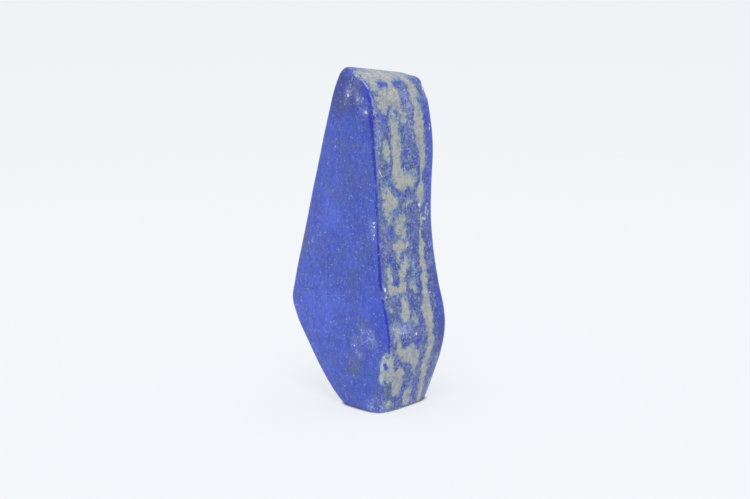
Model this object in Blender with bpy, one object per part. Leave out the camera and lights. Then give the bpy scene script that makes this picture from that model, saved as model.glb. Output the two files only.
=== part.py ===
"""A polished free-form of lapis lazuli that stands on a small ground flat.

The stone is one solid. Two broad faces, nearly flat, are joined by a rim that is crowned across
the layers of the rock. The front face meets the rim in a crisp edge, and the back in a soft one.

The stone stands along Z. Its broad faces look along -Y and +Y, and X runs across them. The origin
is on the ground, under the middle of the stone.
"""

from math import radians

import bmesh
import bpy
from mathutils import Vector
from mathutils.geometry import interpolate_bezier

MM = 0.001

# Driving dimensions, in millimetres
THICKNESS = 22.0
RIM_CROWN = 0.8
FOOT_CROWN = 1.9
FOOT_HEIGHT = 10.0
FRONT_CROWN = 0.7
BACK_CROWN = 1.3
CROWN_REACH = 9.0
FRONT_EDGE_RADIUS = 1.1
BACK_EDGE_RADIUS = 2.2
BASE_EDGE_RADIUS = 0.6

# Stations round the rim, clockwise from the peak as the front face is seen. Each has the corner
# that the front face makes there, then the one that the back face makes: x from the heel, and z
# from the ground. What lies under the ground is cut off.
RIM_STATIONS = (
    ((-11.8, 98.1), (-10.8, 94.8)),  # peak
    ((-8.2, 96.2), (-6.8, 94.5)),
    ((-4.6, 93.2), (-3.3, 94.0)),  # shoulder
    ((-2.7, 89.4), (-1.1, 90.9)),
    ((-1.9, 83.0), (1.3, 83.0)),
    ((-1.3, 75.0), (2.2, 74.0)),
    ((-0.4, 65.0), (1.8, 65.0)),
    ((0.1, 55.0), (1.6, 56.0)),  # waist
    ((0.7, 45.0), (2.6, 46.0)),
    ((1.8, 35.0), (4.8, 36.0)),
    ((3.9, 26.0), (7.0, 28.0)),
    ((4.6, 21.0), (7.4, 23.5)),  # bulge
    ((3.6, 14.0), (5.9, 15.5)),
    ((1.9, 6.0), (2.8, 7.6)),
    ((0.8, 0.6), (0.0, 1.5)),
    ((-0.8, -2.6), (-1.8, -1.6)),  # heel
    ((-5.5, -4.4), (-7.0, -4.2)),
    ((-10.4, -2.8), (-13.0, -3.4)),
    ((-13.7, 0.0), (-17.0, -0.6)),  # toe
    ((-17.5, 3.0), (-19.2, 2.8)),
    ((-22.9, 8.7), (-21.4, 7.2)),
    ((-28.4, 16.2), (-24.2, 14.6)),
    ((-33.3, 23.5), (-26.6, 22.0)),
    ((-34.9, 28.2), (-27.6, 27.5)),  # corner
    ((-33.7, 34.0), (-27.4, 34.0)),
    ((-29.3, 50.0), (-25.2, 49.0)),
    ((-24.1, 68.5), (-22.2, 67.0)),
    ((-19.1, 85.0), (-19.0, 84.0)),
    ((-16.0, 93.8), (-16.4, 91.4)),
    ((-13.9, 97.1), (-14.2, 94.2)),
)

# How finely the surface is divided
POINTS_PER_STATION = 5
RIM_STEPS = 6
EDGE_SEGMENTS = 4
BASE_EDGE_SEGMENTS = 2
FACE_SPACING = 4.0
CREASE_ANGLE = 35.0

LAPIS_BLUE = (0.055, 0.085, 0.46, 1.0)
POLISH_ROUGHNESS = 0.28


def tangent(before, here, after):
    """The direction of a smooth curve at one of its points, led by the nearer neighbour."""
    arriving, leaving = here - before, after - here
    weighed = arriving.normalized() * leaving.length + leaving.normalized() * arriving.length
    return weighed.normalized()


def smooth_loop(corners):
    """Points along a closed smooth curve, the same number from each corner to the next."""
    count = len(corners)
    loop = []
    for i in range(count):
        before, start, end, after = (corners[(i + step) % count] for step in (-1, 0, 1, 2))
        reach = (end - start).length / 3
        leave = start + tangent(before, start, end) * reach
        arrive = end - tangent(start, end, after) * reach
        loop += interpolate_bezier(start, leave, arrive, end, POINTS_PER_STATION + 1)[:-1]
    return loop


def sideways(loop, i):
    """How far the outward direction at a point of the loop leans along X, from -1 to 1."""
    along = loop[(i + 1) % len(loop)] - loop[i - 1]
    return -along.normalized().y


def crown_at(height):
    """How far the middle of the rim stands out at a height. The foot swells towards the ground."""
    swell = 1 - min(max(height / FOOT_HEIGHT, 0), 1)
    return RIM_CROWN + (FOOT_CROWN - RIM_CROWN) * swell**2


def rim_points(front, back, share):
    """The ring at a share of the way through the stone, from the front face to the back one."""
    bow = 4 * share * (1 - share)
    y = (share - 0.5) * THICKNESS
    loop = [a.lerp(b, share) for a, b in zip(front, back)]
    outs = [sideways(loop, i) * bow * crown_at(p.y) for i, p in enumerate(loop)]
    return [Vector((p.x + out, y, p.y)) for p, out in zip(loop, outs)]


def add_ring(bm, points):
    """Joins the points by edges, all the way round. Returns the edges."""
    verts = [bm.verts.new(point) for point in points]
    return [bm.edges.new((verts[i - 1], verts[i])) for i in range(len(verts))]


def close_ring(bm, edges):
    """Fills a ring with one flat face."""
    bmesh.ops.contextual_create(bm, geom=edges)


def round_edges(bm, edges, radius, segments):
    bmesh.ops.bevel(
        bm,
        geom=edges,
        offset=radius,
        offset_type="OFFSET",
        segments=segments,
        profile=0.5,
        affect="EDGES",
        clamp_overlap=True,
        material=-1,
    )


def broad_face(bm, side):
    """The one large face of the front, with side -1, or of the back, with side 1."""
    return max(bm.faces, key=lambda face: face.calc_area() * face.normal.y * side)


def divide_face(bm, face):
    """Cuts a broad face by a square grid. Returns the set of its pieces."""
    pieces = {face}
    outline = [vert.co.copy() for vert in face.verts]
    for direction in (Vector((1, 0, 0)), Vector((0, 0, 1))):
        reaches = [point.dot(direction) for point in outline]
        low, high = min(reaches), max(reaches)
        cuts = int((high - low) / FACE_SPACING)
        for i in range(1, cuts + 1):
            place = low + (high - low) * i / (cuts + 1)
            parts = {part for piece in pieces for part in (piece, *piece.edges, *piece.verts)}
            cut = bmesh.ops.bisect_plane(
                bm, geom=list(parts), plane_co=direction * place, plane_no=direction
            )
            pieces = {part for part in cut["geom"] if isinstance(part, bmesh.types.BMFace)}
    return pieces


def crown_face(bm, side, height):
    """Pushes a broad face out by the height, fading to nothing at its border."""
    pieces = divide_face(bm, broad_face(bm, side))
    verts = {vert for piece in pieces for vert in piece.verts}
    border = [v.co.copy() for v in verts if any(f not in pieces for f in v.link_faces)]
    for vert in verts:
        inset = min((vert.co - point).length for point in border)
        rise = min(inset / CROWN_REACH, 1)
        vert.co.y += side * height * rise * (2 - rise)


def grind_base(bm):
    """Cuts the stone off flat at the ground and breaks the edge of the flat."""
    cut = bmesh.ops.bisect_plane(
        bm,
        geom=[*bm.verts, *bm.edges, *bm.faces],
        plane_co=(0, 0, 0),
        plane_no=(0, 0, 1),
        clear_inner=True,
    )
    edges = [part for part in cut["geom_cut"] if isinstance(part, bmesh.types.BMEdge)]
    close_ring(bm, edges)
    round_edges(bm, edges, BASE_EDGE_RADIUS, BASE_EDGE_SEGMENTS)


def stand_on_origin(bm):
    """Sets the middle of the stone over the origin, and turns millimetres into metres."""
    lows = [min(vert.co[axis] for vert in bm.verts) for axis in range(3)]
    highs = [max(vert.co[axis] for vert in bm.verts) for axis in range(3)]
    middle = Vector(((lows[0] + highs[0]) / 2, (lows[1] + highs[1]) / 2, 0))
    bmesh.ops.translate(bm, vec=-middle, verts=bm.verts)
    bmesh.ops.scale(bm, vec=(MM, MM, MM), verts=bm.verts)


def stone_mesh():
    front = smooth_loop([Vector(at_front) for at_front, at_back in RIM_STATIONS])
    back = smooth_loop([Vector(at_back) for at_front, at_back in RIM_STATIONS])
    bm = bmesh.new()
    shares = [step / RIM_STEPS for step in range(RIM_STEPS + 1)]
    rings = [add_ring(bm, rim_points(front, back, share)) for share in shares]
    for ring, following in zip(rings, rings[1:]):
        bmesh.ops.bridge_loops(bm, edges=ring + following)
    close_ring(bm, rings[0])
    close_ring(bm, rings[-1])
    bmesh.ops.recalc_face_normals(bm, faces=bm.faces)
    round_edges(bm, broad_face(bm, -1).edges[:], FRONT_EDGE_RADIUS, EDGE_SEGMENTS)
    round_edges(bm, broad_face(bm, 1).edges[:], BACK_EDGE_RADIUS, EDGE_SEGMENTS)
    crown_face(bm, -1, FRONT_CROWN)
    crown_face(bm, 1, BACK_CROWN)
    grind_base(bm)
    stand_on_origin(bm)
    bmesh.ops.triangulate(bm, faces=bm.faces)
    bmesh.ops.recalc_face_normals(bm, faces=bm.faces)
    mesh = bpy.data.meshes.new("lapis_stone")
    bm.to_mesh(mesh)
    bm.free()
    mesh.shade_smooth()
    mesh.set_sharp_from_angle(angle=radians(CREASE_ANGLE))
    return mesh


def polished_lapis():
    material = bpy.data.materials.new("polished lapis")
    material.use_nodes = True
    surface = material.node_tree.nodes["Principled BSDF"]
    surface.inputs["Base Color"].default_value = LAPIS_BLUE
    surface.inputs["Roughness"].default_value = POLISH_ROUGHNESS
    surface.inputs["Metallic"].default_value = 0.0
    return material


def main():
    for old in list(bpy.data.objects):
        bpy.data.objects.remove(old, do_unlink=True)
    stone = bpy.data.objects.new("lapis_stone", stone_mesh())
    stone.data.materials.append(polished_lapis())
    bpy.context.scene.collection.objects.link(stone)


main()
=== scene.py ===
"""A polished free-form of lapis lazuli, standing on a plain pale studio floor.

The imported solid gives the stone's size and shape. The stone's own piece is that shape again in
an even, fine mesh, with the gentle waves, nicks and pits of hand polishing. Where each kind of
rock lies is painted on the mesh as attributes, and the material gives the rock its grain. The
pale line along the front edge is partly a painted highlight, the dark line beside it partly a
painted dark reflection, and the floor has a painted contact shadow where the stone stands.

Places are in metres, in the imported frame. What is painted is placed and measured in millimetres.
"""

from math import cos, radians, sin
from typing import NamedTuple

import bmesh
import bpy
import numpy as np
from bpy.props import FloatProperty, FloatVectorProperty, PointerProperty
from mathutils import Matrix, Vector, noise
from mathutils.bvhtree import BVHTree


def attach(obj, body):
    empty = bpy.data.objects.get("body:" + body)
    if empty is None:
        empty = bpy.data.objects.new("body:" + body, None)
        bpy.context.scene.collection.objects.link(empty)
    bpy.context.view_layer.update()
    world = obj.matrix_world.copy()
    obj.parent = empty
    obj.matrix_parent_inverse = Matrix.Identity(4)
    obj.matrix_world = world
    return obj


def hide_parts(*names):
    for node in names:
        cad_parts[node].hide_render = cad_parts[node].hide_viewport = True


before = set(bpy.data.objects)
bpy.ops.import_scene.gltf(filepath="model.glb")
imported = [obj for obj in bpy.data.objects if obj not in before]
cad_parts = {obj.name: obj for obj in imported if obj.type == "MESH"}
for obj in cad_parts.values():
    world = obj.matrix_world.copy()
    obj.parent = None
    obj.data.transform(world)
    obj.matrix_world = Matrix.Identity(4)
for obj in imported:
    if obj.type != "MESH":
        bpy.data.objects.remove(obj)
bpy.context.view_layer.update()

bl_info = {
    "name": "Polished lapis lazuli free-form",
    "version": (1, 0),
    "blender": (4, 5, 0),
    "location": "3D View > Sidebar > Lapis",
    "description": "Makes the polished stone and the studio that it stands in",
    "category": "Object",
}

MM = 0.001
SOLID = "lapis_stone"


class Mark(NamedTuple):
    """An oval mark on the stone, as its side is looked at.

    Lengths are in millimetres. The turn is anticlockwise, in degrees, and the reach is how far
    the mark goes along the line of sight.
    """

    side: str
    across: float
    height: float
    half_width: float
    half_height: float
    turn: float = 0.0
    weight: float = 1.0
    reach: float = 4.0


# Each side by the direction in which it is looked at
SIDES = {
    "front": Vector((0, 1, 0)),
    "rim": Vector((-1, 0, 0)),
    "back": Vector((0, -1, 0)),
}

# Grey-beige calcite on the rim that faces right and at the front edge, roughly from the top down.
# A negative weight leaves lapis.
CALCITE = (
    Mark("rim", -3.5, 95.4, 6.5, 1.6, turn=-8),
    Mark("rim", -8.6, 94.0, 1.6, 2.2, weight=0.9),
    Mark("rim", -2.8, 93.6, 1.1, 2.4, weight=0.8),
    Mark("rim", -4.9, 90.0, 3.2, 2.0),
    Mark("rim", -7.6, 87.9, 2.0, 1.9, weight=0.9),
    Mark("rim", -3.3, 87.5, 2.0, 1.8, weight=0.8),
    Mark("rim", -6.6, 89.4, 0.5, 0.8, weight=-0.5),
    Mark("rim", -0.9, 84.3, 1.3, 2.2, turn=20, weight=0.8),
    Mark("rim", -4.4, 82.4, 1.7, 3.0),
    Mark("rim", -4.0, 80.2, 0.4, 0.6, weight=-0.7),
    Mark("rim", -4.4, 76.5, 1.3, 4.5),
    Mark("rim", -4.0, 71.0, 1.2, 3.5, weight=0.95),
    Mark("rim", -7.5, 75.2, 0.9, 3.0, weight=0.75),
    Mark("rim", -9.6, 77.5, 0.5, 2.5, weight=0.45),
    Mark("rim", -3.2, 67.6, 2.6, 2.2),
    Mark("rim", 0.6, 67.0, 2.2, 1.9, weight=0.55),
    Mark("rim", -1.6, 65.0, 2.6, 1.5, weight=0.85),
    Mark("rim", -4.8, 66.6, 0.4, 0.5, weight=-0.6),
    Mark("rim", -7.8, 61.2, 1.7, 4.4),
    Mark("rim", -6.3, 60.6, 1.9, 1.6, weight=0.85),
    Mark("rim", -7.6, 55.6, 1.1, 1.6, weight=0.65),
    Mark("rim", -0.8, 59.8, 2.8, 0.8, turn=38, weight=0.75),
    Mark("rim", 2.6, 60.8, 0.7, 1.5, weight=0.45),
    Mark("rim", -3.5, 54.6, 1.8, 2.7),
    Mark("rim", -2.4, 51.0, 1.3, 1.8, weight=0.55),
    Mark("rim", -5.2, 48.0, 1.5, 1.5, weight=0.9),
    Mark("rim", -2.4, 47.8, 1.7, 1.4, weight=0.75),
    Mark("rim", -4.7, 44.8, 0.7, 2.2, weight=0.75),
    Mark("rim", -2.2, 43.4, 1.1, 1.7, weight=0.9),
    Mark("rim", -3.5, 41.0, 1.1, 1.8, weight=0.85),
    Mark("rim", -8.4, 39.6, 0.9, 2.8, weight=0.95),
    Mark("rim", -8.0, 36.0, 1.6, 1.2, weight=0.85),
    Mark("rim", -5.8, 35.6, 1.8, 1.1, weight=0.9),
    Mark("rim", -4.3, 37.6, 0.9, 2.2),
    Mark("rim", 0.3, 41.0, 0.8, 2.4, weight=0.6),
    Mark("rim", -1.0, 36.6, 0.9, 2.6, turn=12, weight=0.6),
    Mark("rim", -4.9, 30.6, 1.5, 2.9),
    Mark("rim", -6.3, 28.4, 0.9, 1.5, weight=0.6),
    Mark("rim", -9.4, 30.6, 0.7, 1.1, weight=0.6),
    Mark("rim", -1.9, 27.6, 1.1, 1.7, weight=0.65),
    Mark("rim", -8.6, 25.0, 1.6, 1.6, weight=0.65),
    Mark("rim", -8.6, 21.4, 1.4, 1.6, weight=0.75),
    Mark("rim", -7.6, 18.4, 1.7, 1.4, weight=0.7),
    Mark("rim", -5.6, 16.6, 2.0, 1.4, weight=0.8),
    Mark("rim", -6.2, 20.7, 0.7, 1.3, weight=-0.9),
    Mark("rim", -4.0, 18.6, 2.0, 1.4, weight=0.9),
    Mark("rim", -3.0, 16.4, 2.6, 1.6),
    Mark("rim", -1.4, 14.0, 1.2, 1.9),
    Mark("rim", -4.9, 13.2, 1.6, 0.9, turn=-35, weight=-0.9),
    Mark("front", 16.7, 14.0, 1.5, 4.2, turn=-12, weight=1.1, reach=1.5),
    Mark("rim", -9.9, 13.2, 0.9, 3.2, weight=0.8),
    Mark("front", 16.9, 14.3, 0.6, 1.1, weight=-2.2, reach=1.0),
    Mark("rim", -8.8, 16.4, 0.7, 1.6, turn=-20, weight=-0.7),
    Mark("rim", -7.2, 10.6, 1.9, 2.9),
    Mark("rim", -6.4, 7.0, 1.6, 1.9),
    Mark("rim", -9.3, 5.6, 1.2, 1.3, weight=-0.5),
    Mark("rim", -8.7, 2.6, 1.8, 1.8, weight=0.8),
    Mark("rim", -6.0, 3.9, 0.9, 1.2, weight=-0.4),
    Mark("rim", -1.6, 3.6, 1.7, 2.9, weight=0.95),
    Mark("rim", -1.0, 10.6, 2.0, 0.8, turn=-45, weight=0.5),
    Mark("rim", 8.6, 4.0, 1.2, 3.5, weight=0.45),
    Mark("rim", 7.8, 13.5, 0.8, 3.5, weight=0.35),
)

# The long pale vein on the same side: height, and the lowest and highest y of the vein there
VEIN = (
    (0.0, 3.5, 5.8),
    (6.0, 3.1, 5.4),
    (9.0, 2.4, 5.0),
    (13.0, 1.9, 4.6),
    (16.0, 2.6, 4.7),
    (20.0, 2.7, 4.6),
    (26.0, 1.4, 4.1),
    (30.0, 0.9, 4.1),
    (33.5, 1.9, 4.1),
    (36.0, 2.6, 4.6),
    (40.0, 3.2, 5.1),
    (47.0, 3.1, 5.2),
    (49.5, 4.2, 4.8),
    (53.0, 4.5, 4.6),
    (57.5, 4.0, 4.4),
    (59.5, 3.5, 5.8),
    (63.5, 3.4, 5.8),
    (65.5, 4.3, 5.2),
    (68.0, 4.7, 5.1),
    (70.0, 3.8, 5.8),
    (75.0, 3.2, 6.0),
    (80.0, 2.9, 5.9),
    (88.0, 2.8, 5.4),
    (94.0, 2.6, 5.0),
)

# Islands of pure blue among the layers
PURE = (
    Mark("rim", -10.3, 93.6, 0.9, 4.0, weight=1.2),
    Mark("rim", -11.3, 27.0, 0.9, 6.5, weight=1.3),
    Mark("rim", -11.0, 90.5, 0.9, 3.0, weight=0.7),
    Mark("rim", -5.6, 93.0, 1.9, 1.4, turn=-20),
    Mark("rim", -4.6, 85.4, 2.4, 0.9, weight=0.6),
    Mark("rim", -8.2, 84.6, 1.6, 1.6, weight=0.9),
    Mark("rim", -7.9, 81.6, 0.8, 2.0, weight=0.6),
    Mark("rim", 0.6, 94.0, 1.8, 1.2, weight=0.9),
    Mark("rim", -1.2, 90.8, 0.9, 1.8, weight=0.7),
    Mark("rim", 1.6, 91.0, 1.2, 1.5, weight=0.5),
    Mark("rim", -1.2, 74.0, 1.0, 2.0, weight=0.5),
    Mark("rim", -5.6, 71.6, 0.9, 1.2, weight=0.8),
    Mark("rim", -6.2, 57.6, 1.3, 1.8, weight=0.8),
    Mark("rim", -3.0, 61.6, 1.5, 1.2, weight=0.4),
    Mark("rim", -7.2, 51.5, 1.5, 1.8, weight=0.7),
    Mark("rim", -7.4, 44.0, 1.6, 1.8, weight=0.6),
    Mark("rim", -6.2, 38.6, 0.7, 1.3, weight=0.8),
    Mark("rim", -2.2, 31.8, 1.4, 2.2, weight=0.5),
    Mark("rim", -4.6, 24.6, 0.7, 2.0, weight=0.6),
    Mark("rim", -6.2, 20.7, 0.6, 1.2, weight=0.9),
    Mark("rim", -1.6, 20.9, 1.3, 1.0),
    Mark("front", 16.5, 14.3, 0.6, 1.2, weight=1.6, reach=1.0),
    Mark("rim", 8.2, 76.0, 2.4, 8.5, weight=0.75),
    Mark("rim", 7.6, 87.0, 1.6, 4.0, weight=0.45),
    Mark("rim", 8.0, 62.0, 2.4, 7.0, weight=0.7),
    Mark("rim", 8.4, 29.0, 2.6, 9.0, weight=1.1),
    Mark("front", 3.1, 80.9, 3.6, 3.0, weight=0.6),
    Mark("front", 11.6, 30.5, 1.8, 3.4, weight=0.8),
    Mark("front", 9.8, 9.0, 3.0, 3.4, weight=0.6),
    Mark("front", -14.0, 34.0, 2.0, 4.0, weight=0.4),
)

# Lighter clouds in the blue, and darker ones with a negative weight
TONES = (
    Mark("front", 1.0, 90.5, 8.0, 6.5, weight=-2.2),
    Mark("front", 10.5, 83.0, 2.6, 4.0, weight=-0.6),
    Mark("front", -3.0, 74.0, 4.0, 3.0, weight=-0.3),
    Mark("front", 8.4, 66.0, 4.0, 7.0, weight=-0.35),
    Mark("front", 8.2, 58.7, 2.6, 5.0, weight=-0.5),
    Mark("front", 9.8, 46.5, 2.2, 6.0, weight=-0.4),
    Mark("front", 4.6, 35.4, 1.6, 4.0, weight=-0.5),
    Mark("front", -4.4, 55.5, 4.2, 8.0, weight=0.8),
    Mark("front", -11.0, 41.0, 3.6, 8.0, weight=0.5),
    Mark("front", -9.0, 27.0, 7.5, 8.0, weight=0.9),
    Mark("front", 0.5, 29.0, 3.0, 7.0, weight=0.5),
    Mark("front", 3.0, 46.0, 3.0, 5.0, weight=0.25),
    Mark("front", 10.5, 31.0, 3.4, 4.0, weight=0.6),
    Mark("front", -9.0, 15.0, 4.0, 4.0, weight=0.5),
    Mark("front", -1.0, 5.0, 5.0, 3.0, weight=-0.25),
    Mark("rim", 8.6, 16.0, 3.6, 14.0, weight=-1.4),
    Mark("rim", 9.6, 38.0, 2.6, 12.0, weight=-0.8),
    Mark("rim", 9.6, 84.0, 2.6, 8.0, weight=-0.5),
    Mark("back", -8.0, 70.0, 4.0, 12.0, turn=12, weight=0.7),
    Mark("back", 6.0, 40.0, 6.0, 9.0, weight=0.6),
    Mark("back", -2.0, 52.0, 5.0, 7.0, weight=-0.7),
    Mark("back", -6.0, 22.0, 6.0, 6.0, weight=-0.5),
    Mark("back", 0.0, 86.0, 5.0, 5.0, weight=-0.6),
)

# Clusters of white and lilac specks
FROST = (
    Mark("rim", -8.0, 96.2, 3.0, 1.6, weight=0.9),
    Mark("rim", -1.5, 95.4, 4.0, 1.2, weight=0.8),
    Mark("front", 3.0, 90.8, 1.3, 2.6, turn=-10, weight=0.6),
    Mark("front", 7.6, 88.6, 1.5, 2.8, turn=35, weight=0.6),
    Mark("front", 5.2, 92.6, 2.2, 2.2, weight=0.4),
    Mark("front", 10.4, 86.8, 1.5, 2.0, weight=0.35),
    Mark("front", 9.4, 85.8, 0.9, 0.8, weight=0.5),
    Mark("front", 11.4, 53.2, 1.4, 2.6, weight=0.6),
    Mark("front", 11.6, 22.4, 1.2, 1.5, weight=1.0),
    Mark("front", 9.4, 22.0, 2.2, 2.4, weight=0.5),
    Mark("front", 12.8, 20.4, 1.6, 2.0, weight=0.3),
    Mark("front", 6.2, 19.6, 1.6, 2.0, weight=0.45),
    Mark("front", 7.2, 16.6, 1.6, 1.4, weight=0.5),
    Mark("front", 12.0, 2.0, 2.0, 2.0, weight=0.6),
    Mark("rim", -7.0, 24.6, 3.2, 1.9, weight=1.1),
    Mark("rim", -8.8, 36.0, 1.6, 6.0, weight=0.35),
    Mark("rim", -9.4, 50.0, 1.0, 5.0, weight=0.4),
    Mark("rim", -9.0, 81.0, 1.4, 5.0, weight=0.45),
    Mark("rim", 0.9, 88.0, 1.1, 4.6, weight=0.8),
    Mark("rim", 1.0, 80.5, 1.8, 3.0, weight=0.35),
    Mark("rim", -10.2, 76.0, 0.7, 10.0, weight=0.45),
    Mark("rim", -9.8, 1.8, 1.6, 1.6, weight=0.8),
    Mark("rim", -10.6, 4.4, 1.0, 1.6, weight=0.35),
    Mark("rim", 3.6, 33.4, 1.2, 0.8, weight=0.9),
    Mark("rim", 8.8, 90.0, 1.2, 2.2, weight=0.6),
)

# Grey-green smudges
SMUDGES = (
    Mark("front", 4.5, 91.6, 1.4, 1.6, weight=0.5),
    Mark("front", 1.5, 76.3, 7.0, 0.7, weight=0.7),
    Mark("front", 0.8, 74.0, 0.9, 0.7, weight=0.9),
    Mark("front", 3.6, 68.0, 3.0, 3.4, weight=0.4),
    Mark("front", 9.0, 67.0, 2.0, 4.0, weight=0.35),
    Mark("front", -2.0, 62.0, 3.5, 2.5, weight=0.4),
    Mark("front", 9.2, 48.0, 2.0, 5.0, weight=0.3),
    Mark("front", -0.1, 45.2, 1.2, 1.0, weight=0.5),
    Mark("front", 5.0, 38.0, 2.0, 4.0, weight=0.35),
    Mark("front", -9.0, 45.0, 2.5, 3.5, weight=0.3),
    Mark("front", 1.0, 87.5, 3.5, 2.4, weight=0.5),
    Mark("front", -14.8, 46.6, 1.1, 4.6, turn=-16, weight=1.1),
    Mark("front", 8.9, 25.6, 2.0, 1.6, weight=0.6),
    Mark("front", 5.1, 12.2, 2.4, 2.4, weight=1.1),
    Mark("front", 7.6, 15.4, 1.6, 1.4, weight=0.5),
    Mark("front", -3.0, 13.0, 1.6, 1.6, weight=0.5),
    Mark("front", 13.6, 6.5, 1.0, 3.0, weight=0.9),
    Mark("rim", -10.0, 70.0, 0.9, 24.0, weight=0.4),
    Mark("rim", -10.0, 30.0, 0.8, 10.0, weight=0.6),
    Mark("rim", -10.2, 7.4, 0.9, 2.4, weight=1.1),
)

# Small spots of pure white
WHITES = (
    Mark("front", 3.0, 90.2, 0.28, 0.5),
    Mark("front", 2.6, 91.4, 0.22, 0.3),
    Mark("front", 8.4, 89.6, 0.25, 0.3, weight=0.8),
    Mark("front", 9.3, 85.9, 0.5, 0.3, turn=-25, weight=0.9),
    Mark("front", 12.2, 55.2, 0.35, 0.30),
    Mark("front", 12.3, 54.0, 0.28, 0.32),
    Mark("front", 12.3, 51.7, 0.26, 0.35),
    Mark("front", 12.2, 50.6, 0.20, 0.40, weight=0.8),
    Mark("front", 5.3, 18.8, 0.30, 0.26),
    Mark("front", 8.7, 23.2, 0.2, 0.3, weight=0.8),
    Mark("front", 7.0, 18.4, 0.2, 0.25, weight=0.7),
    Mark("rim", 4.0, 58.7, 0.5, 0.45),
    Mark("rim", 7.8, 55.8, 0.22, 1.3, turn=-8, weight=0.8),
    Mark("rim", -2.2, 23.0, 0.35, 0.5, weight=0.9),
    Mark("rim", 5.0, 33.7, 0.7, 0.14, weight=0.9),
    Mark("rim", -9.7, 69.0, 0.16, 1.5, turn=25, weight=0.8),
    Mark("rim", -10.2, 36.4, 0.22, 0.7),
    Mark("rim", -10.0, 34.2, 0.2, 0.5, weight=0.8),
    Mark("rim", 9.0, 91.6, 0.28, 1.5, turn=-14),
    Mark("rim", 9.9, 89.2, 0.25, 1.0, turn=-30),
    Mark("rim", 8.4, 80.2, 0.2, 1.6, turn=-12, weight=0.8),
)

# Pale cyan, as on the lip of the patch at the front edge
ICE = (
    Mark("rim", -10.4, 14.2, 1.6, 3.8, weight=0.45, reach=1.4),
    Mark("front", 15.5, 14.2, 0.45, 1.8, turn=-12, weight=1.4, reach=1.5),
    Mark("front", 15.3, 10.6, 0.6, 0.9, weight=1.2, reach=1.5),
    Mark("front", 16.5, 17.6, 0.7, 0.5, turn=45, weight=0.8, reach=1.5),
    Mark("rim", -10.2, 17.0, 0.9, 0.6, weight=0.5, reach=1.5),
    Mark("front", 16.6, 14.2, 0.5, 1.0, weight=-1.6, reach=1.0),
    Mark("rim", 5.8, 54.6, 1.2, 0.4, turn=-8),
    Mark("rim", 6.9, 57.0, 0.3, 2.0, turn=-10, weight=0.8),
)

# The pale line along the front edge, partly a painted highlight and partly worn polish: height,
# and how pale it is there
WEAR_AND_HIGHLIGHT = (
    (8.0, 0.0),
    (20.0, 0.3),
    (33.0, 0.3),
    (34.5, 1.0),
    (36.5, 0.9),
    (38.0, 0.35),
    (60.0, 0.4),
    (86.0, 0.4),
    (91.0, 0.9),
    (98.0, 1.1),
)

# The dark line beside it, partly the edge's own deep blue and partly a painted dark reflection:
# height, and how dark it is there
CREST = (
    (17.0, 0.0),
    (20.0, 0.9),
    (33.0, 1.0),
    (34.3, 0.0),
    (35.5, 0.1),
    (37.0, 0.9),
    (41.0, 1.2),
    (44.0, 1.1),
    (48.0, 0.65),
    (56.0, 0.45),
    (60.0, 0.75),
    (66.0, 0.5),
    (71.0, 1.05),
    (75.0, 0.75),
    (78.0, 0.6),
    (82.0, 1.1),
    (89.0, 1.1),
    (92.0, 0.6),
    (94.0, 0.0),
)

# Where the dark line, with its painted dark reflection, spreads on to the front face
SHADE = (
    Mark("front", 10.7, 84.5, 0.6, 4.5, turn=7, weight=0.6),
    Mark("front", 11.7, 75.0, 0.35, 6.0, turn=5, weight=0.5),
    Mark("front", 14.2, 39.6, 0.4, 3.6, turn=-5, weight=0.6),
)

# What polishing didn't reach. The weight is a depth in millimetres.
DENTS = (
    Mark("front", 11.2, 53.0, 1.4, 2.6, weight=0.12),
    Mark("front", 12.2, 55.2, 0.5, 0.4, weight=0.2),
    Mark("front", 12.3, 54.0, 0.4, 0.4, weight=0.2),
    Mark("front", 12.3, 51.4, 0.4, 0.9, weight=0.2),
    Mark("front", 9.4, 85.8, 0.7, 0.5, weight=0.15),
    Mark("rim", -10.9, 35.2, 0.6, 1.0, weight=0.35),
    Mark("rim", -10.9, 84.6, 0.6, 0.9, weight=0.25),
    Mark("rim", 9.4, 90.4, 0.8, 2.0, turn=-16, weight=0.35),
    Mark("rim", -9.6, 68.8, 0.3, 1.6, turn=25, weight=0.12),
)

# The patches of calcite, the vein's table and the lines along the edge count in full from the
# second x on, and not at all left of the first, in millimetres. There the vein and the calcite run
# on by rule.
SEEN_X = (-1, 3)

# The vein there: the y of its middle, half its width, and how far both stray
HIDDEN_VEIN_Y = 4.2
HIDDEN_VEIN_HALF = 1.0
HIDDEN_VEIN_STRAY = 1.6
THINNEST_VEIN = 0.15
VEIN_WEIGHT = 1.05

# The layers of calcite there: the y of their middle, half their thickness, how much calcite they
# hold, and how strongly it comes and goes
HIDDEN_CALCITE_Y = -4.5
HIDDEN_CALCITE_HALF = 4.5
HIDDEN_CALCITE_SHARE = 0.42
HIDDEN_CALCITE_CONTRAST = 1.5

# Where the rim's colours give way: to the front face's, by how far forwards the surface faces, and
# to the back's, by y in millimetres
RIM_FACING = (0.40, 0.80)
RIM_BACK_Y = (7.0, 9.5)

# The lines along the front edge, the pale one partly a painted highlight and the dark one partly a
# painted
# dark reflection: how far forwards the surface faces in the middle of each, how much more or less
# at its sides, how strongly both break up, and the size of the breaks
CREST_FACING, CREST_HALF = 0.82, 0.155
WEAR_AND_HIGHLIGHT_FACING, WEAR_AND_HIGHLIGHT_HALF = 0.56, 0.16
BREAKS = 0.9
BREAK_SIZE = (1.0, 1.0, 1.6)

# How often smoothing passes over the whole stone, then its broad faces, then its rim. The y of the
# normal is over the first limit on a broad face, and under the second on the rim.
ALL_PASSES, FACE_PASSES, RIM_PASSES = 3, 60, 10
FACE_NORMAL_Y = 0.985
RIM_NORMAL_Y = 0.25

# Under this height waves and dents fade out, so that the stone stays flat on the ground
GROUND_HEIGHT = 0.8 * MM

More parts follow.
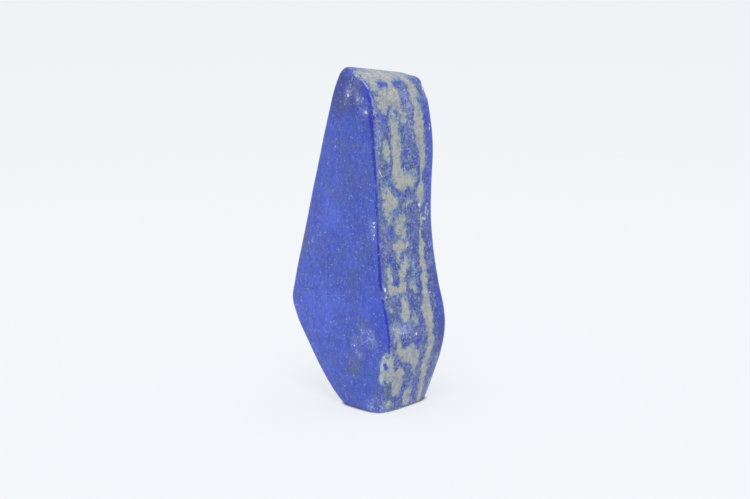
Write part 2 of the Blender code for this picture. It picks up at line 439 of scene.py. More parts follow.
# Ripples between the waves, in millimetres
RIPPLE_LENGTH = 3.5
RIPPLE_HEIGHT = 0.03

# Points of the solid that are nearer than this are one
MERGE_DISTANCE = 0.001 * MM

# Farther out than any part of the stone, in millimetres
OUTSIDE = 100

# Noise vectors are drawn by the clock unless they are given a seed
VECTOR_SEED = 1

# How far apart two seeds are in the noise, on the mesh and in the material
SEED_STRIDE = 17.3
GRAIN_STRIDE = 3.7

# How much rougher calcite is, and the depths of the finest relief, in millimetres
CALCITE_ROUGHER = 0.12
CALCITE_SINK = 0.02
GRAIN_RELIEF = 0.006

# The colour sockets of a Mix node, whose names its other sockets share
MIX_UNDER, MIX_OVER, MIX_RESULT = 6, 7, 2

# The floor, and the dark spot that the stone stands on, which is a painted contact shadow: its
# border, in half widths, and its glow
FLOOR_SEGMENTS = 96
FLOOR_GAP = 0.02 * MM
CONTACT_SHADOW_BORDER = (0.9, 1.15)
CONTACT_SHADOW_GLOW = 0.1

SOFTBOX_ELEVATION = radians(62)
SOFTBOX_DISTANCE = 1.3


class Layer(NamedTuple):
    """Grains or clouds of one colour.

    The size is in millimetres, and the upright ones are longer along Z.
    """

    colour: str
    size: float
    threshold: float = 0.55
    softness: float = 0.10
    strength: float = 1.0
    upright: float = 1.0


# What the blue of the broad faces is made of, from the bottom up
FACE_LAYERS = (
    Layer("violet", 7.0, 0.50, 0.14, 0.9),
    Layer("royal", 2.6, 0.60, 0.12, 0.5, upright=1.6),
    Layer("violet", 1.3, 0.50, 0.12, 0.7, upright=3.0),
    Layer("moss", 2.0, 0.58, 0.12, 0.28),
    Layer("navy", 0.8, 0.58, 0.12, 0.38, upright=3.0),
    Layer("azure", 0.7, 0.58, 0.10, 0.50, upright=2.0),
    Layer("moss", 0.9, 0.60, 0.08, 0.42),
    Layer("ink", 0.7, 0.58, 0.08, 0.60),
    Layer("ink", 0.45, 0.60, 0.08, 0.65),
    Layer("lilac", 0.5, 0.64, 0.07, 0.34, upright=1.5),
    Layer("teal", 0.5, 0.66, 0.06, 0.40),
)

# The same of the mottled blue between the patches of calcite
RIM_LAYERS = (
    Layer("indigo", 2.4, 0.47, 0.10, 0.85, upright=2.0),
    Layer("moss", 1.8, 0.56, 0.10, 0.50, upright=2.0),
    Layer("royal", 1.6, 0.57, 0.08, 0.60, upright=1.6),
    Layer("lilac", 1.2, 0.60, 0.09, 0.50, upright=1.8),
    Layer("navy", 1.1, 0.55, 0.07, 0.70, upright=1.6),
    Layer("calcite_green", 0.9, 0.61, 0.07, 0.50, upright=1.3),
    Layer("royal", 0.7, 0.58, 0.07, 0.50),
    Layer("navy", 0.6, 0.57, 0.06, 0.80),
    Layer("lilac", 0.6, 0.58, 0.07, 0.65),
    Layer("frost", 0.4, 0.63, 0.05, 0.60),
)

# The same of calcite
CALCITE_LAYERS = (
    Layer("calcite_green", 2.6, 0.50, 0.12, 0.9),
    Layer("calcite_pink", 1.7, 0.55, 0.10, 0.6),
    Layer("slate", 1.4, 0.55, 0.09, 0.45, upright=1.4),
    Layer("chalk", 1.0, 0.56, 0.08, 0.55),
    Layer("slate", 0.7, 0.58, 0.07, 0.50),
    Layer("frost", 0.6, 0.60, 0.07, 0.40),
    Layer("slate", 0.4, 0.60, 0.06, 0.55),
    Layer("umber", 0.45, 0.64, 0.05, 0.50),
)


class StoneSettings(bpy.types.PropertyGroup):
    """The sizes and colours of the stone."""

    spacing: FloatProperty(
        name="Spacing",
        description="Side of the mesh's squares",
        default=0.37 * MM,
        unit="LENGTH",
    )
    wave_height: FloatProperty(
        name="Wave height",
        description="From trough to crest of most of the waves that hand polishing leaves",
        default=0.10 * MM,
        unit="LENGTH",
    )
    regained: FloatProperty(
        name="Regained",
        description="What smoothing took off all round",
        default=0.08 * MM,
        unit="LENGTH",
    )
    wave_length: FloatProperty(
        name="Wave length",
        description="From one wave to the next",
        default=12 * MM,
        unit="LENGTH",
    )
    azure: FloatVectorProperty(
        name="Azure",
        description="The lightest lapis",
        subtype="COLOR",
        default=(0.080, 0.148, 0.74),
    )
    cobalt: FloatVectorProperty(
        name="Cobalt",
        description="The lapis that is most common",
        subtype="COLOR",
        default=(0.050, 0.104, 0.58),
    )
    violet: FloatVectorProperty(
        name="Violet",
        description="The lapis with more red in it",
        subtype="COLOR",
        default=(0.043, 0.072, 0.47),
    )
    royal: FloatVectorProperty(
        name="Royal blue",
        description="Lapis without specks",
        subtype="COLOR",
        default=(0.022, 0.060, 0.52),
    )
    dusk: FloatVectorProperty(
        name="Dusk",
        description="The darkest clouds",
        subtype="COLOR",
        default=(0.021, 0.038, 0.25),
    )
    indigo: FloatVectorProperty(
        name="Indigo",
        description="The darker lapis between the patches",
        subtype="COLOR",
        default=(0.050, 0.088, 0.335),
    )
    navy: FloatVectorProperty(
        name="Navy",
        description="The darkest grains",
        subtype="COLOR",
        default=(0.008, 0.030, 0.22),
    )
    ink: FloatVectorProperty(
        name="Ink blue",
        description="Dark grains in the broad faces",
        subtype="COLOR",
        default=(0.014, 0.045, 0.40),
    )
    # Deep blue and vivid blue colour the dark line along the front edge, which is partly a painted
    # dark reflection
    deep: FloatVectorProperty(
        name="Deep blue",
        description="The line along the front edge",
        subtype="COLOR",
        default=(0.0, 0.014, 0.36),
    )
    vivid: FloatVectorProperty(
        name="Vivid blue",
        description="The lower part of that line",
        subtype="COLOR",
        default=(0.002, 0.016, 0.46),
    )
    slate: FloatVectorProperty(
        name="Slate",
        description="Lapis greyed by other minerals",
        subtype="COLOR",
        default=(0.142, 0.190, 0.335),
    )
    lilac: FloatVectorProperty(
        name="Lilac",
        description="Pale grains in the blue",
        subtype="COLOR",
        default=(0.29, 0.33, 0.60),
    )
    moss: FloatVectorProperty(
        name="Grey-green",
        description="The grains of diopside",
        subtype="COLOR",
        default=(0.105, 0.160, 0.225),
    )
    teal: FloatVectorProperty(
        name="Teal",
        description="Lapis at the border of calcite",
        subtype="COLOR",
        default=(0.105, 0.235, 0.43),
    )
    ice: FloatVectorProperty(
        name="Ice",
        description="Pale cyan at the lip of a patch",
        subtype="COLOR",
        default=(0.38, 0.49, 0.57),
    )
    frost: FloatVectorProperty(
        name="Frost", description="Pale blue calcite", subtype="COLOR", default=(0.40, 0.46, 0.60)
    )
    white: FloatVectorProperty(
        name="White", description="The whitest specks", subtype="COLOR", default=(0.75, 0.78, 0.88)
    )
    calcite: FloatVectorProperty(
        name="Calcite",
        description="The grey-beige patches",
        subtype="COLOR",
        default=(0.405, 0.405, 0.36),
    )
    calcite_green: FloatVectorProperty(
        name="Greenish calcite",
        description="Parts of the patches",
        subtype="COLOR",
        default=(0.33, 0.375, 0.30),
    )
    calcite_pink: FloatVectorProperty(
        name="Pinkish calcite",
        description="Grains in the patches",
        subtype="COLOR",
        default=(0.47, 0.42, 0.40),
    )
    chalk: FloatVectorProperty(
        name="Chalk",
        description="The lightest grains of calcite",
        subtype="COLOR",
        default=(0.53, 0.52, 0.49),
    )
    haze: FloatVectorProperty(
        name="Haze",
        description="Where calcite thins out into lapis",
        subtype="COLOR",
        default=(0.195, 0.245, 0.345),
    )
    umber: FloatVectorProperty(
        name="Umber", description="Brown specks", subtype="COLOR", default=(0.085, 0.08, 0.12)
    )
    roughness: FloatProperty(
        name="Roughness", description="Of polished lapis", default=0.28, subtype="FACTOR"
    )


class StudioSettings(bpy.types.PropertyGroup):
    """The camera, the light and the floor."""

    azimuth: FloatProperty(
        name="Azimuth",
        description="Of the camera, from the front",
        default=radians(43),
        subtype="ANGLE",
    )
    elevation: FloatProperty(
        name="Elevation", description="Of the camera", default=radians(12), subtype="ANGLE"
    )
    distance: FloatProperty(
        name="Distance", description="From the camera to its aim", default=0.4629, unit="LENGTH"
    )
    aim: FloatVectorProperty(
        name="Aim",
        description="The middle of the picture",
        subtype="TRANSLATION",
        default=(0.00182, 0.00035, 0.04434),
    )
    lens: FloatProperty(name="Lens", description="Focal length", default=76.8, unit="CAMERA")
    floor_radius: FloatProperty(
        name="Floor radius", description="Of the round floor", default=4.0, unit="LENGTH"
    )
    floor_colour: FloatVectorProperty(
        name="Floor",
        description="Colour of the lit floor",
        subtype="COLOR",
        default=(0.90, 0.92, 0.945),
    )
    # The spot is where the floor's glow drops, a painted contact shadow
    contact_shadow: FloatVectorProperty(
        name="Foot",
        description="Middle of the spot where the stone stands",
        subtype="TRANSLATION",
        default=(0.0062, -0.0003, 0.0),
    )
    contact_shadow_size: FloatVectorProperty(
        name="Foot size",
        description="Half the spot's width and depth",
        size=2,
        unit="LENGTH",
        default=(0.0087, 0.0116),
    )
    floor_glow: FloatProperty(
        name="Floor glow",
        description="Share of the floor's brightness that comes from the light table under it",
        default=0.72,
        subtype="FACTOR",
    )
    sky_colour: FloatVectorProperty(
        name="Surroundings",
        description="Colour all around",
        subtype="COLOR",
        default=(0.98, 0.99, 1.0),
    )
    sky_strength: FloatProperty(
        name="Surroundings' light", description="How bright they are", default=0.88
    )
    softbox_power: FloatProperty(
        name="Softbox power", description="Of the light overhead", default=4.0, unit="POWER"
    )
    softbox_size: FloatProperty(
        name="Softbox size", description="Side of the light overhead", default=0.5, unit="LENGTH"
    )


def replace_mesh(piece, bm):
    """Gives the piece the bmesh's shape, and ends the bmesh."""
    bm.to_mesh(piece.data)
    bm.free()
    piece.data.update()


def even_copy(solid, spacing):
    """A new object with the solid's surface in even squares."""
    bm = bmesh.new()
    bm.from_mesh(solid.data)
    bmesh.ops.remove_doubles(bm, verts=bm.verts, dist=MERGE_DISTANCE)
    rough = bpy.data.objects.new("rough", bpy.data.meshes.new("rough"))
    replace_mesh(rough, bm)
    bpy.context.scene.collection.objects.link(rough)
    squares = rough.modifiers.new("even squares", "REMESH")
    squares.mode = "VOXEL"
    squares.voxel_size = spacing
    evaluated = rough.evaluated_get(bpy.context.evaluated_depsgraph_get())
    mesh = bpy.data.meshes.new_from_object(evaluated)
    bpy.data.objects.remove(rough, do_unlink=True)
    piece = bpy.data.objects.new("polished_stone", mesh)
    bpy.context.scene.collection.objects.link(piece)
    return piece


def smooth(bm, verts, passes):
    """Evens out the places of the points."""
    for _ in range(passes):
        bmesh.ops.smooth_vert(
            bm, verts=verts, factor=0.5, use_axis_x=True, use_axis_y=True, use_axis_z=True
        )


def centre_of(surface, mark):
    """The point of the surface, in millimetres, that a mark is centred on."""
    look = SIDES[mark.side]
    right = look.cross(Vector((0, 0, 1)))
    start = right * mark.across + Vector((0, 0, mark.height)) - look * OUTSIDE
    hit = surface.ray_cast(start, look)[0]
    if hit is None:
        raise ValueError(f"no surface under the mark {mark}")
    return hit


def strength_of(points, surface, mark):
    """How far each point is in the mark: 1 at its middle, a half on its outline, 0 far off.

    It falls with the cube of the distance from the middle.
    """
    look = SIDES[mark.side]
    right = look.cross(Vector((0, 0, 1)))
    offsets = points - np.array(centre_of(surface, mark))
    across = offsets @ np.array(right)
    height = offsets[:, 2]
    depth = offsets @ np.array(look)
    turn_cos, turn_sin = cos(radians(mark.turn)), sin(radians(mark.turn))
    along = (across * turn_cos + height * turn_sin) / mark.half_width
    over = (height * turn_cos - across * turn_sin) / mark.half_height
    squared_distances = along**2 + over**2 + (depth / mark.reach) ** 2
    return 0.5 ** (squared_distances**1.5)


def painted(points, surface, marks):
    """The sum of the marks at each point."""
    total = np.zeros(len(points))
    for mark in marks:
        total += mark.weight * strength_of(points, surface, mark)
    return total


def smooth_step(values, low, high):
    """0 under the low value and 1 over the high one, with a soft ramp between."""
    share = np.clip((values - low) / (high - low), 0, 1)
    return share * share * (3 - 2 * share)


def noise_at(points, size, seed):
    """Smooth noise, mostly between -0.5 and 0.5. The size is one length, or one for each axis."""
    places = points / np.array(size) + seed * SEED_STRIDE
    return np.array([noise.noise(Vector(place)) for place in places])


def wandered(points, size, amount, seed):
    """The points moved about by smooth noise, so that what is painted there looks natural."""
    places = points / size + seed * SEED_STRIDE
    return points + amount * np.array([noise.noise_vector(Vector(place)) for place in places])


def vein_strength(points, seen):
    """How far each point is in the pale vein, which runs right through the stone."""
    heights, lows, highs = np.array(VEIN).T
    middle = np.interp(points[:, 2], heights, (lows + highs) / 2)
    half = np.interp(points[:, 2], heights, (highs - lows) / 2)
    hidden_middle = HIDDEN_VEIN_Y + HIDDEN_VEIN_STRAY * noise_at(points, size=18, seed=5)
    hidden_half = HIDDEN_VEIN_HALF + HIDDEN_VEIN_STRAY * noise_at(points, size=11, seed=6)
    middle = middle * seen + hidden_middle * (1 - seen)
    half = np.maximum(half * seen + hidden_half * (1 - seen), THINNEST_VEIN)
    return 0.5 ** (np.abs((points[:, 1] - middle) / half) ** 3)


def calcite_strength(points, surface, seen):
    """Where grey-beige calcite lies: over a half inside a patch."""
    bent = wandered(points, size=3.5, amount=0.7, seed=1)
    organic = wandered(bent, size=1.3, amount=0.5, seed=2)
    patches = painted(organic, surface, CALCITE)
    layers = np.exp(-(((points[:, 1] - HIDDEN_CALCITE_Y) / HIDDEN_CALCITE_HALF) ** 4))
    clumps = noise_at(organic, size=(6, 1.8, 7), seed=3)
    hidden = layers * (HIDDEN_CALCITE_SHARE + HIDDEN_CALCITE_CONTRAST * clumps)
    vein = VEIN_WEIGHT * vein_strength(organic, seen)
    return np.maximum(patches * seen + hidden * (1 - seen), vein)


def line_strength(points, facing, table, middle, half):
    """A broken line along the front edge.

    It lies where the edge's rounding faces forwards by the middle amount, give or take the half.
    """
    heights, strengths = np.array(table).T
    breaks = 1 + BREAKS * noise_at(points, size=BREAK_SIZE, seed=11)
    line = np.clip(1 - ((facing - middle) / half) ** 2, 0, 1)
    return line * np.interp(points[:, 2], heights, strengths) * breaks


def add_attribute(mesh, name, values):
    """Gives the mesh one value at each point, for the material to read."""
    attribute = mesh.attributes.new(name, "FLOAT", "POINT")
    attribute.data.foreach_set("value", values.astype(np.float32))


def points_of(mesh):
    """The mesh's points in millimetres."""
    flat = np.empty(len(mesh.vertices) * 3, np.float32)
    mesh.vertices.foreach_get("co", flat)
    return flat.reshape(-1, 3).astype(float) / MM


def normals_of(mesh):
    """The directions that the mesh's surface faces at its points."""
    flat = np.empty(len(mesh.vertices) * 3, np.float32)
    mesh.vertices.foreach_get("normal", flat)
    return flat.reshape(-1, 3).astype(float)


def surface_of(mesh):
    """The mesh in millimetres, for finding points on it."""
    scaled = [vert.co / MM for vert in mesh.vertices]
    return BVHTree.FromPolygons(scaled, [face.vertices[:] for face in mesh.polygons])


def paint(piece):
    """Writes where each kind of rock lies, and the front edge's lines, partly painted highlight
    and shade.
    """
    mesh = piece.data
    points = points_of(mesh)
    surface = surface_of(mesh)
    facing = -normals_of(mesh)[:, 1]
    seen = smooth_step(points[:, 0], *SEEN_X)
    organic = wandered(points, size=1.5, amount=0.3, seed=4)
    drifting = wandered(points, size=5.0, amount=1.2, seed=10)
    add_attribute(mesh, "calcite", calcite_strength(points, surface, seen))
    off_front = 1 - smooth_step(facing, *RIM_FACING)
    off_back = 1 - smooth_step(points[:, 1], *RIM_BACK_Y)
    add_attribute(mesh, "rim", off_front * off_back)
    add_attribute(mesh, "pure", painted(organic, surface, PURE))
    add_attribute(mesh, "tone", painted(drifting, surface, TONES))
    add_attribute(mesh, "frost", painted(organic, surface, FROST))
    add_attribute(mesh, "smudge", painted(organic, surface, SMUDGES))
    add_attribute(mesh, "ice", painted(points, surface, ICE))
    add_attribute(mesh, "white", painted(points, surface, WHITES))
    # The dark line along the front edge: partly the edge's own deep blue, partly a painted dark
    # reflection
    crest = line_strength(points, facing, CREST, CREST_FACING, CREST_HALF) * seen
    add_attribute(mesh, "crest", np.maximum(crest, painted(organic, surface, SHADE)))
    # The pale line along the front edge: partly a painted highlight, partly worn polish
    wear_and_highlight = line_strength(points, facing, WEAR_AND_HIGHLIGHT, WEAR_AND_HIGHLIGHT_FACING, WEAR_AND_HIGHLIGHT_HALF) * seen
    add_attribute(mesh, "wear_and_highlight", wear_and_highlight)


def polish(piece, settings):
    """Takes the facets off the surface and leaves the waves and dents of hand polishing."""
    bm = bmesh.new()
    bm.from_mesh(piece.data)
    smooth(bm, bm.verts[:], ALL_PASSES)
    bm.normal_update()
    raised = [vert for vert in bm.verts if vert.co.z > GROUND_HEIGHT]
    smooth(bm, [vert for vert in raised if abs(vert.normal.y) > FACE_NORMAL_Y], FACE_PASSES)
    smooth(bm, [vert for vert in raised if abs(vert.normal.y) < RIM_NORMAL_Y], RIM_PASSES)
    bm.normal_update()
    places = [vert.co / MM for vert in bm.verts]
    corners = [[vert.index for vert in face.verts] for face in bm.faces]
    surface = BVHTree.FromPolygons(places, corners)
    points = np.array(places)
    depth = painted(wandered(points, size=1.0, amount=0.15, seed=8), surface, DENTS)
    wave = noise_at(points, size=settings.wave_length / MM, seed=7) * settings.wave_height / MM
    wave += noise_at(points, size=RIPPLE_LENGTH, seed=9) * RIPPLE_HEIGHT
    moves = settings.regained / MM + wave - depth
    for vert, move in zip(bm.verts, moves):
        vert.co += vert.normal * (move * MM * min(vert.co.z / GROUND_HEIGHT, 1))
        vert.co.z = max(vert.co.z, 0)
    replace_mesh(piece, bm)
    piece.data.shade_smooth()


class Tree:
    """A node tree that is being filled in."""

    def __init__(self, tree):
        self.tree = tree

    def feed(self, socket, value):
        """Links the socket to what makes its value, or sets it."""
        if isinstance(value, bpy.types.NodeSocket):
            self.tree.links.new(value, socket)
        elif socket.type == "RGBA":
            socket.default_value = (*value[:3], 1)
        else:
            socket.default_value = value

    def add(self, kind, inputs=None, output=0, **settings):
        """Adds a node and returns one of its outputs."""
        node = self.tree.nodes.new(kind)
        for name, value in settings.items():
            setattr(node, name, value)
        for name, value in (inputs or {}).items():
            self.feed(node.inputs[name], value)
        return node.outputs[output]

    def math(self, operation, *values):
        """The result of one operation on the values."""
        return self.add("ShaderNodeMath", dict(enumerate(values)), operation=operation)

    def product(self, first, *others):
        for other in others:
            first = self.math("MULTIPLY", first, other)
        return first

    def mix(self, share, under, over):
        """A colour with another laid over it."""
        inputs = {"Factor": share, MIX_UNDER: under, MIX_OVER: over}
        return self.add("ShaderNodeMix", inputs, output=MIX_RESULT, data_type="RGBA")

    def step(self, value, low, high, start=0.0, end=1.0):
        """Start under the low value and end over the high one, with a soft ramp between."""
        inputs = {
            "Value": value,
            "From Min": low,
            "From Max": high,
            "To Min": start,
            "To Max": end,
        }
        return self.add("ShaderNodeMapRange", inputs, interpolation_type="SMOOTHSTEP")

    def bell(self, value, middle, half):
        """1 where the value is at the middle, and 0 from half a width away."""
        away = self.math("ABSOLUTE", self.math("SUBTRACT", value, middle))
        return self.step(away, half, 0.0)

    def attribute(self, name):
        return self.add("ShaderNodeAttribute", output="Fac", attribute_name=name)


def grain_group():
    """A node group: a mask of soft-edged grains or clouds of one size."""
    group = bpy.data.node_groups.new("Grain", "ShaderNodeTree")
    for name, kind, default in (
        ("Place", "NodeSocketVector", None),
        ("Size", "NodeSocketFloat", 1.0),
        ("Seed", "NodeSocketFloat", 0.0),
        ("Threshold", "NodeSocketFloat", 0.5),
        ("Softness", "NodeSocketFloat", 0.1),
    ):
        socket = group.interface.new_socket(name=name, in_out="INPUT", socket_type=kind)
        if default is not None:
            socket.default_value = default
    group.interface.new_socket(name="Mask", in_out="OUTPUT", socket_type="NodeSocketFloat")
    tree = Tree(group)
    given = group.nodes.new("NodeGroupInput").outputs
    cloud = tree.add(
        "ShaderNodeTexNoise",
        {
            "Vector": given["Place"],
            "W": given["Seed"],
            "Scale": tree.math("DIVIDE", 1.0, given["Size"]),
            "Detail": 3.0,
            "Roughness": 0.6,
        },
        noise_dimensions="4D",
    )
    low = tree.math("SUBTRACT", given["Threshold"], given["Softness"])
    high = tree.math("ADD", given["Threshold"], given["Softness"])
    result = group.nodes.new("NodeGroupOutput").inputs["Mask"]
    tree.feed(result, tree.step(cloud, low, high))
    return group


class Palette:
    """Lays grains and clouds of the stone's colours over each other in one material."""

    def __init__(self, tree, settings):
        self.tree, self.settings = tree, settings
        self.group = grain_group()
        self.seed = 0
        self.object_place = tree.add("ShaderNodeTexCoord", output="Object")
        self.places = {}

    def place(self, upright):
        """Object coordinates in millimetres, drawn out along Z."""
        if upright not in self.places:
            scale = (1 / MM, 1 / MM, 1 / MM / upright)
            self.places[upright] = self.tree.add(
                "ShaderNodeMapping", {"Vector": self.object_place, "Scale": scale}
            )
        return self.places[upright]

    def grains(self, size, threshold=0.5, softness=0.25, upright=1.0):
        """A mask of grains or clouds, never the same one twice."""
        self.seed += 1
        inputs = {
            "Place": self.place(upright),
            "Size": size,
            "Seed": self.seed * GRAIN_STRIDE,
            "Threshold": threshold,
            "Softness": softness,
        }
        node = self.tree.tree.nodes.new("ShaderNodeGroup")
        node.node_tree = self.group
        for name, value in inputs.items():
            self.tree.feed(node.inputs[name], value)
        return node.outputs["Mask"]

    def spread(self, size, amount, upright=1.0):
        """Clouds as a value from minus the amount to the amount."""
        clouds = self.grains(size, softness=0.2, upright=upright)
        return self.tree.math("MULTIPLY_ADD", clouds, 2 * amount, -amount)

    def frayed(self, name, *clouds):
        """An attribute whose outline is frayed by clouds, each a size and an amount."""
        value = self.tree.attribute(name)
        for size, amount in clouds:
            value = self.tree.math("ADD", value, self.spread(size, amount))
        return value

    def over(self, under, share, colour):
        """A colour with one of the settings' colours laid over it."""
        return self.tree.mix(share, under, getattr(self.settings, colour))

    def lay(self, under, layers):
        """A colour with each of the layers over it."""
        for layer in layers:
            mask = self.grains(layer.size, layer.threshold, layer.softness, layer.upright)
            under = self.over(under, self.tree.product(mask, layer.strength), layer.colour)
        return under


def face_colour(tree, palette, tone):
    """The blue of the broad faces, with its lighter clouds."""
    pure = palette.frayed("pure", (1.5, 0.3))
    colour = palette.lay(palette.settings.cobalt, FACE_LAYERS)
    colour = palette.over(colour, tree.step(tone, 0.0, 1.4, end=0.55), "azure")
    return palette.over(colour, tree.step(pure, 0.3, 1.2, end=0.6), "royal")


def rim_colour(tree, palette):
    """The mottled blue of the layers between the broad faces."""
    colour = palette.lay(palette.settings.slate, RIM_LAYERS)
    pure = palette.frayed("pure", (1.2, 0.4), (0.5, 0.4))
    colour = palette.over(colour, tree.step(pure, 0.25, 1.15, end=0.85), "royal")
    return palette.over(colour, tree.product(palette.grains(0.7, 0.58, 0.1), 0.35), "navy")


def blue_colour(tree, palette):
    """Lapis on every side, with its dark clouds, its smudges and its clusters of lilac."""
    rim = palette.frayed("rim", (1.0, 0.35))
    tone = palette.frayed("tone", (4.0, 0.5), (1.6, 0.3))
    share = tree.step(rim, 0.3, 0.7)
    colour = tree.mix(share, face_colour(tree, palette, tone), rim_colour(tree, palette))
    colour = palette.over(colour, tree.step(tone, 0.0, -2.0, end=0.8), "dusk")
    smudge = tree.attribute("smudge")
    smear = tree.product(smudge, palette.grains(0.9, 0.48, 0.14), 0.6)
    colour = palette.over(colour, smear, "moss")
    specks = tree.product(smudge, palette.grains(0.5, 0.52, 0.08), 0.65)
    colour = palette.over(colour, specks, "umber")
    icing = palette.grains(1.1, 0.50, 0.16, upright=1.6)
    return palette.over(colour, tree.product(tree.attribute("frost"), icing, 0.75), "lilac")


def calcite_outline(tree, palette):
    """How far each point is inside calcite, with a ragged border."""
    painted_calcite = tree.attribute("calcite")
    large = palette.spread(2.4, 0.26, upright=1.8)
    ragged = tree.math("ADD", large, palette.spread(1.0, 0.36, upright=1.3))
    ragged = tree.math("ADD", ragged, palette.spread(0.45, 0.20))
    ragged = tree.product(ragged, tree.step(painted_calcite, 0.0, 0.3))
    return tree.math("ADD", ragged, painted_calcite)


def border_colour(tree, palette, colour, outline):
    """The blue with what surrounds calcite: haze, and a fringe of teal."""
    colour = palette.over(colour, tree.step(outline, 0.15, 0.5, end=0.5), "haze")
    fringe = tree.product(tree.bell(outline, 0.40, 0.25), palette.grains(3.0, 0.42), 0.85)
    return palette.over(colour, fringe, "teal")


def edge_colour(tree, palette, colour):
    """The colour with the front edge's dark line, partly painted shade, its icy lip and its pale
    line, partly a painted highlight.
    """
    # The dark line is partly a painted dark reflection
    crest = tree.step(tree.attribute("crest"), 0.15, 0.65, end=0.95)
    blueness = tree.step(tree.attribute("pure"), 0.2, 0.8)
    colour = tree.mix(crest, colour, palette.over(palette.settings.deep, blueness, "vivid"))
    ice = palette.frayed("ice", (0.7, 0.45), (0.4, 0.3))
    colour = palette.over(colour, tree.step(ice, 0.3, 0.9), "ice")
    # The pale line is partly a painted highlight, laid on in lilac
    wear_and_highlight = palette.frayed("wear_and_highlight", (0.8, 0.3))
    return palette.over(colour, tree.step(wear_and_highlight, 0.3, 0.9, end=0.8), "lilac")


def speckled_colour(tree, palette, colour):
    """The colour with its white specks: the clusters and the single spots."""
    sparks = tree.product(tree.attribute("frost"), palette.grains(0.5, 0.60, 0.07), 0.65)
    colour = palette.over(colour, sparks, "white")
    whites = palette.frayed("white", (0.5, 0.15))
    return palette.over(colour, tree.step(whites, 0.35, 0.7, end=0.9), "white")


def lapis_finish(settings):
    """The material: lapis, with what the attributes lay over it."""
    material = bpy.data.materials.new("polished lapis")
    material.use_nodes = True
    tree = Tree(material.node_tree)
    palette = Palette(tree, settings)
    outline = calcite_outline(tree, palette)
    colour = border_colour(tree, palette, blue_colour(tree, palette), outline)
    core = tree.step(outline, 0.32, 0.80)
    colour = tree.mix(core, colour, palette.lay(settings.calcite, CALCITE_LAYERS))
    colour = speckled_colour(tree, palette, edge_colour(tree, palette, colour))

    rough = tree.step(core, 0, 1, settings.roughness, settings.roughness + CALCITE_ROUGHER)
    relief = tree.product(palette.grains(0.5, 0.5, 0.5), GRAIN_RELIEF)
    relief = tree.math("SUBTRACT", relief, tree.product(core, CALCITE_SINK))
    bump = tree.add("ShaderNodeBump", {"Height": relief, "Distance": MM, "Strength": 1.0})

    surface = material.node_tree.nodes["Principled BSDF"].inputs
    tree.feed(surface["Base Color"], colour)
    tree.feed(surface["Roughness"], rough)
    tree.feed(surface["Normal"], bump)
    return material


def make_floor(settings):
    """A pale floor that is lit from below, with a painted contact shadow where the stone stands on
    it.
    """
    bm = bmesh.new()
    bmesh.ops.create_circle(
        bm, cap_ends=True, segments=FLOOR_SEGMENTS, radius=settings.floor_radius
    )
    bmesh.ops.translate(bm, verts=bm.verts, vec=(0, 0, -FLOOR_GAP))
    floor = bpy.data.objects.new("studio_floor", bpy.data.meshes.new("studio_floor"))
    bpy.context.scene.collection.objects.link(floor)
    replace_mesh(floor, bm)
    material = bpy.data.materials.new("pale floor")
    material.use_nodes = True
    tree = Tree(material.node_tree)
    scale = (1 / settings.contact_shadow_size[0], 1 / settings.contact_shadow_size[1], 0)
    place = tree.add(
        "ShaderNodeMapping",
        {
            "Vector": tree.add("ShaderNodeTexCoord", output="Object"),
            "Location": [-middle * factor for middle, factor in zip(settings.contact_shadow, scale)],
            "Scale": scale,
        },
    )
    squares = tree.add("ShaderNodeVectorMath", {0: place, 1: place}, operation="MULTIPLY")
    away = tree.add("ShaderNodeVectorMath", {0: squares}, output="Value", operation="LENGTH")
    surface = material.node_tree.nodes["Principled BSDF"].inputs
    lit = [share * (1 - settings.floor_glow) for share in settings.floor_colour]
    surface["Base Color"].default_value = (*lit, 1)
    surface["Roughness"].default_value = 0.9
    surface["Specular IOR Level"].default_value = 0.0
    surface["Emission Color"].default_value = (*settings.floor_colour, 1)
    # The glow drops to a painted contact shadow around the stone's foot
    glow_and_contact_shadow = tree.step(away, *CONTACT_SHADOW_BORDER, CONTACT_SHADOW_GLOW, settings.floor_glow)
    tree.feed(surface["Emission Strength"], glow_and_contact_shadow)
    floor.data.materials.append(material)


def outward(azimuth, elevation):
    """The direction from the stone to what stands at those angles."""
    return Vector((sin(azimuth) * cos(elevation), -cos(azimuth) * cos(elevation), sin(elevation)))


def aim_at(thing, place, target):
    """Puts a light or a camera at the place and turns it to the target."""
    turned = (target - place).to_track_quat("-Z", "Y").to_matrix().to_4x4()
    thing.matrix_world = Matrix.Translation(place) @ turned
    bpy.context.scene.collection.objects.link(thing)


def light_studio(settings):
    """Even surroundings, and one soft light above the camera."""
    world = bpy.data.worlds.new("studio")
    world.use_nodes = True
    background = world.node_tree.nodes["Background"].inputs
    background["Color"].default_value = (*settings.sky_colour, 1)
    background["Strength"].default_value = settings.sky_strength
    bpy.context.scene.world = world
    softbox = bpy.data.lights.new("softbox", "AREA")
    softbox.shape = "SQUARE"
    softbox.size = settings.softbox_size
    softbox.energy = settings.softbox_power
    place = outward(settings.azimuth, SOFTBOX_ELEVATION) * SOFTBOX_DISTANCE
    aim_at(bpy.data.objects.new("softbox", softbox), place, Vector(settings.aim))


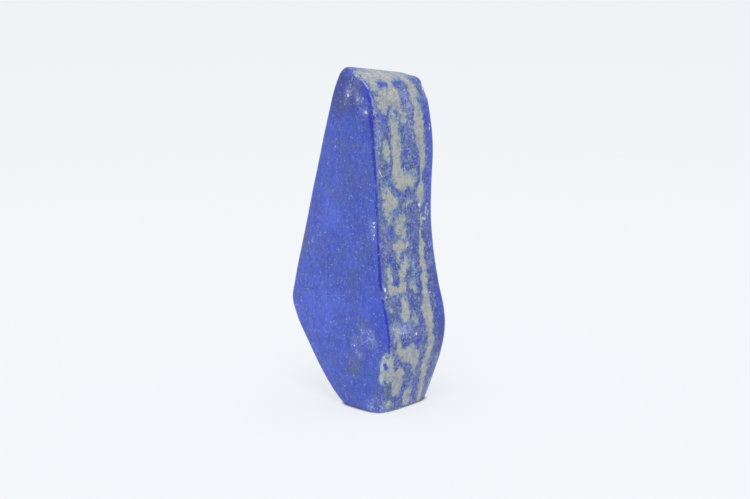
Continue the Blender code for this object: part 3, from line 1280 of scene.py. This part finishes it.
def set_camera(settings):
    """The camera, turned to the middle of the picture."""
    camera = bpy.data.objects.new("camera", bpy.data.cameras.new("camera"))
    camera.data.sensor_width = 36
    camera.data.lens = settings.lens
    camera.data.clip_start = 0.01
    aim = Vector(settings.aim)
    place = aim + outward(settings.azimuth, settings.elevation) * settings.distance
    aim_at(camera, place, aim)
    bpy.context.scene.camera = camera


class LAPIS_OT_make_stone(bpy.types.Operator):
    """Make the polished stone in place of its plain solid"""

    bl_idname = "lapis.make_stone"
    bl_label = "Make stone"

    def execute(self, context):
        settings = context.scene.lapis_stone
        noise.seed_set(VECTOR_SEED)
        piece = even_copy(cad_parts[SOLID], settings.spacing)
        polish(piece, settings)
        paint(piece)
        piece.data.materials.clear()
        piece.data.materials.append(lapis_finish(settings))
        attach(piece, "root")
        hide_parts(SOLID)
        return {"FINISHED"}


class LAPIS_OT_set_stage(bpy.types.Operator):
    """Set the floor, the light and the camera"""

    bl_idname = "lapis.set_stage"
    bl_label = "Set stage"

    def execute(self, context):
        settings = context.scene.lapis_studio
        make_floor(settings)
        light_studio(settings)
        set_camera(settings)
        context.scene.view_settings.view_transform = "Standard"
        return {"FINISHED"}


class LAPIS_PT_panel(bpy.types.Panel):
    """Lists the steps and their settings"""

    bl_idname = "LAPIS_PT_panel"
    bl_label = "Lapis free-form"
    bl_space_type = "VIEW_3D"
    bl_region_type = "UI"
    bl_category = "Lapis"

    def draw(self, context):
        for settings, operator in (
            (context.scene.lapis_stone, LAPIS_OT_make_stone),
            (context.scene.lapis_studio, LAPIS_OT_set_stage),
        ):
            box = self.layout.box()
            for name in settings.__annotations__:
                box.prop(settings, name)
            box.operator(operator.bl_idname)


CLASSES = (
    StoneSettings,
    StudioSettings,
    LAPIS_OT_make_stone,
    LAPIS_OT_set_stage,
    LAPIS_PT_panel,
)


def register():
    for each in CLASSES:
        bpy.utils.register_class(each)
    bpy.types.Scene.lapis_stone = PointerProperty(type=StoneSettings)
    bpy.types.Scene.lapis_studio = PointerProperty(type=StudioSettings)


def unregister():
    del bpy.types.Scene.lapis_studio
    del bpy.types.Scene.lapis_stone
    for each in reversed(CLASSES):
        bpy.utils.unregister_class(each)


def main():
    register()
    bpy.ops.lapis.make_stone()
    bpy.ops.lapis.set_stage()


if __name__ == "__main__":
    main()
